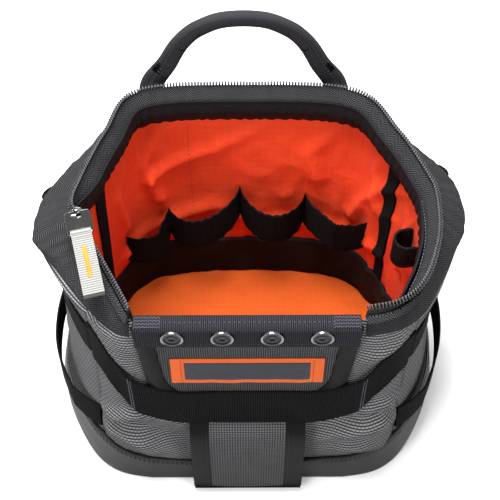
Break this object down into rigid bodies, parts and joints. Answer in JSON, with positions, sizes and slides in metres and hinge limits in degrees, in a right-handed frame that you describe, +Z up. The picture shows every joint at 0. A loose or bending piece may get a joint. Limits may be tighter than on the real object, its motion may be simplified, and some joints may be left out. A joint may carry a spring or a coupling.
{
  "type": "tool pouch",
  "caption": "Open-mouthed bucket-shaped tool pouch with a zipped rim, an orange lining, inner tool loops, a belt tunnel, side webbing loops and a folding carry handle.",
  "frame": {"origin": "on the floor, under the middle of the part's box", "axes": "+Z up, -Y towards the side with the belt tunnel, +X to the right as seen from that side"},
  "size_m": [0.2866, 0.2268, 0.2607],
  "materials": {
    "grey_weave": "coarse grey ballistic weave",
    "black_webbing": "black ribbed webbing",
    "black_herringbone": "black herringbone tape",
    "orange_cloth": "orange ripstop lining",
    "boot_plastic": "moulded, fine grain",
    "board_plastic": "plain board",
    "spring_steel": "flat spring strip",
    "zipper_nylon": "black coil",
    "slider_metal": "gloss black",
    "pale_webbing": "pale grey ribbed webbing",
    "gunmetal": "dark plated",
    "label_orange": "woven label border",
    "label_slate": "woven label field, bare",
    "ring_steel": "bright plated wire"
  },
  "bodies": {
    "pouch": {"back_panel": "grey_weave", "base_boot": "boot_plastic", "floor_board": "board_plastic", "front_belt": "black_webbing", "front_body_panel": "grey_weave", "handle_end_left": "black_webbing", "handle_end_right": "black_webbing", "label_field": "label_slate", "label_frame": "label_orange", "left_corner_tab": "black_webbing", "left_inner_strap": "black_webbing", "left_lower_band": "black_webbing", "left_side_panel": "grey_weave", "left_upper_band": "black_webbing", "lining_floor": "orange_cloth", "lining_wall": "orange_cloth", "lower_inner_band": "black_webbing", "mouth_stay_front": "spring_steel", "mouth_stay_rear": "spring_steel", "panel_binding": "black_webbing", "panel_core": "grey_weave", "panel_rivet_1": "gunmetal", "panel_rivet_2": "gunmetal", "panel_rivet_3": "gunmetal", "panel_rivet_4": "gunmetal", "panel_top_webbing": "black_webbing", "right_corner_tab": "black_webbing", "right_inner_strap": "black_webbing", "right_lower_band": "black_webbing", "right_side_panel": "grey_weave", "right_upper_band": "black_webbing", "rim_collar": "black_herringbone", "rim_facing": "black_herringbone", "ring_tab": "black_webbing", "tether_loop": "black_webbing", "tool_band": "black_webbing", "tunnel_binding_left": "black_webbing", "tunnel_binding_right": "black_webbing", "tunnel_panel": "grey_weave", "zipper_chain": "zipper_nylon", "zipper_tape": "black_herringbone"},
    "slider": {"zipper_slider": "slider_metal"},
    "pull_loop": {"zipper_pull_loop": "slider_metal"},
    "pull_tab": {"zipper_pull_tab": "pale_webbing"},
    "handle": {"carry_handle": "black_webbing"},
    "ring": {"d_ring": "ring_steel"}
  },
  "joints": [
    {"name": "slider_run", "type": "slide", "parent": "pouch", "child": "slider", "axis": [0.4709, -0.8822, 0], "range_m": [0, 0.06]},
    {"name": "pull_loop_swing", "type": "hinge", "parent": "slider", "child": "pull_loop", "pos_m": [-0.10418, -0.02341, 0.217], "axis": [-0.9655, -0.2604, 0], "range_deg": [0, 120]},
    {"name": "pull_tab_swing", "type": "hinge", "parent": "pull_loop", "child": "pull_tab", "pos_m": [-0.09976, -0.03982, 0.21641], "axis": [-0.9655, -0.2604, 0], "range_deg": [0, 60]},
    {"name": "handle_fold", "type": "hinge", "parent": "pouch", "child": "handle", "pos_m": [-0.00207, 0.10211, 0.1845], "axis": [-1, 0, 0], "range_deg": [0, 130]},
    {"name": "ring_swing", "type": "hinge", "parent": "pouch", "child": "ring", "pos_m": [0.10507, -0.05967, 0.147], "axis": [0.3758, 0.9267, 0], "range_deg": [-5, 100]}
  ]
}
